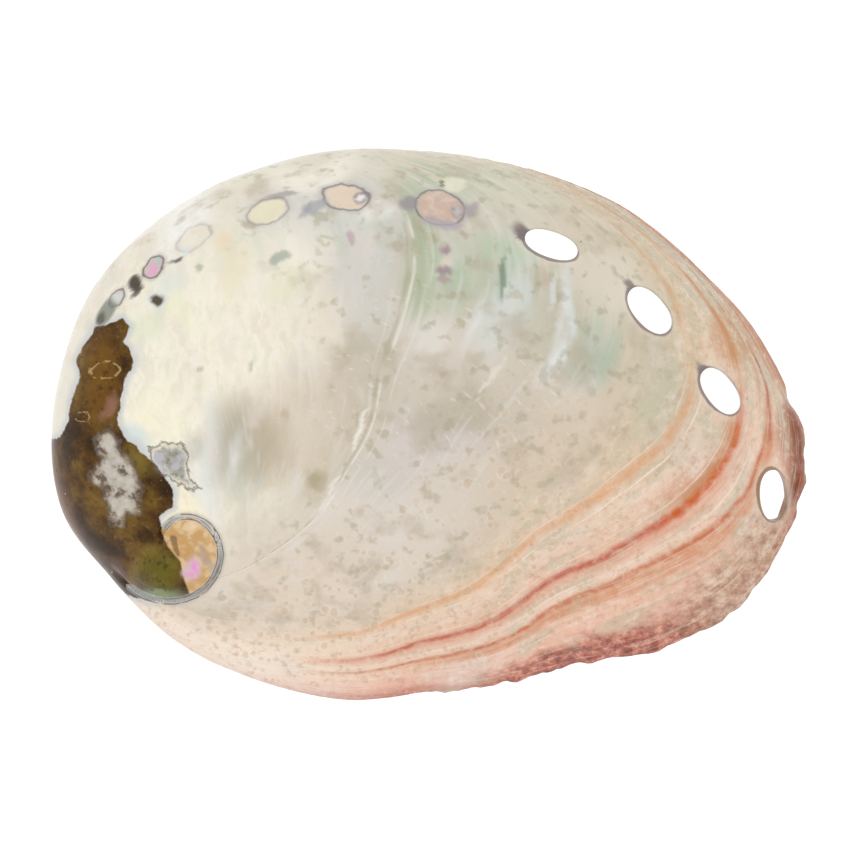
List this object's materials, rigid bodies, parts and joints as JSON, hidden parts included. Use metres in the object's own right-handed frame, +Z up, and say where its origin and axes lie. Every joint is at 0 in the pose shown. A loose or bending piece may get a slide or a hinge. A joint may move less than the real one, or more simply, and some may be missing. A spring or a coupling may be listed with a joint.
{
  "type": "abalone shell",
  "caption": "Low oval ear-shaped shell with a small side spire, a row of breathing pores and an open hollow underneath; it rests on its rim.",
  "frame": {"origin": "centre of the bounding box in plan, on the ground that the rim rests on", "axes": "+X to the growing end with the youngest pore, +Y to the side that carries the pore row, +Z up through the dome"},
  "size_m": [0.13, 0.095, 0.033],
  "materials": {
    "nacre": "polished, slightly translucent, pearly"
  },
  "bodies": {
    "root": {"shell": "nacre"}
  },
  "joints": []
}
